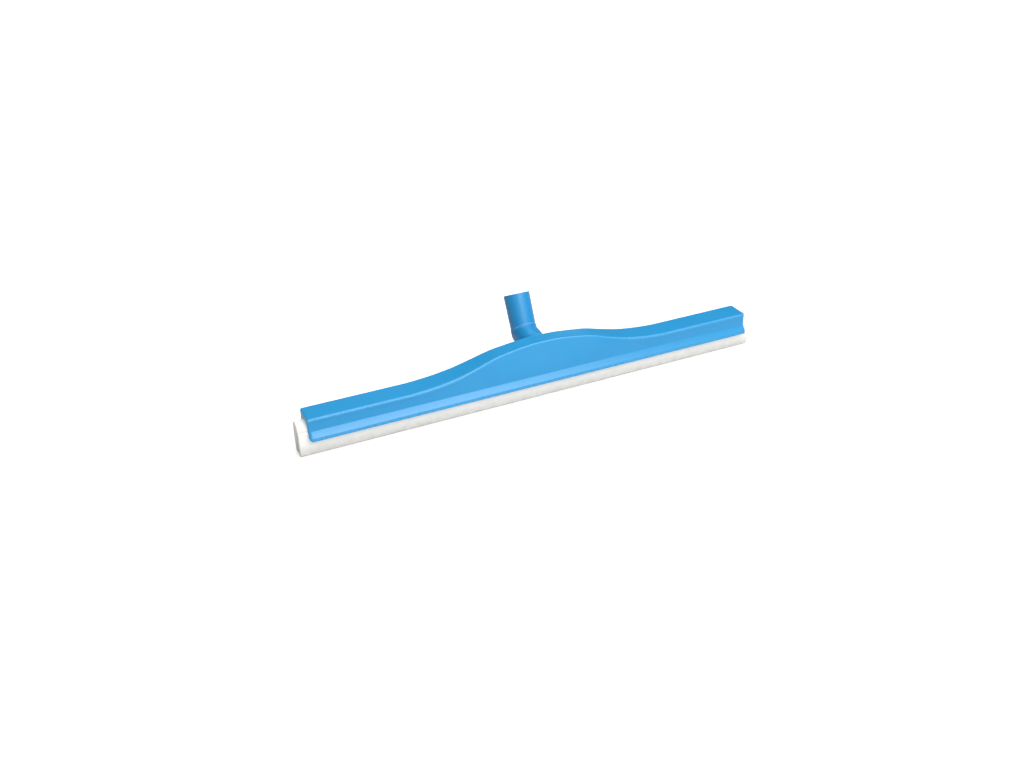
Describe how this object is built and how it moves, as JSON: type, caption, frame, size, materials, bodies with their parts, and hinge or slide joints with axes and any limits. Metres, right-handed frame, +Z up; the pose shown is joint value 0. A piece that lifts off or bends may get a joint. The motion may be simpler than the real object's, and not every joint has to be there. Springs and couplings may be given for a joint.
{
  "type": "floor squeegee head",
  "caption": "Long floor squeegee head with an arched frame, a slide-out cassette of twin foam lips and a revolving elbow neck with an open handle socket.",
  "frame": {"origin": "on the floor, below the middle of the head's bounding box; the blade's mid-plane lies at Y = -31.99 mm", "axes": "+X along the blade to the right as seen from the front, +Y towards the back where the neck stands, +Z up from the floor"},
  "size_m": [0.605, 0.1002, 0.1102],
  "materials": {
    "frame_blue": "satin moulded polypropylene, bright blue",
    "neck_blue": "satin moulded polypropylene, bright blue",
    "carrier_white": "off-white extruded polypropylene",
    "foam_rubber": "off-white closed-cell foam rubber, matt",
    "washer_white": "natural acetal, satin",
    "clip_steel": "stainless spring steel"
  },
  "bodies": {
    "frame": {"squeegee_frame": "frame_blue"},
    "cassette": {"cassette_carrier": "carrier_white", "front_foam_lip": "foam_rubber", "rear_foam_lip": "foam_rubber"},
    "neck": {"swivel_neck": "neck_blue", "neck_thrust_washer": "washer_white", "neck_retaining_clip": "clip_steel"}
  },
  "joints": [
    {"name": "neck_swivel", "type": "hinge", "parent": "frame", "child": "neck", "pos_m": [0, -0.01983, 0.0565], "axis": [0, 0.9945, 0.1045], "continuous": true},
    {"name": "cassette_slide", "type": "slide", "parent": "frame", "child": "cassette", "axis": [1, 0, 0], "range_m": [0, 0.62]}
  ]
}
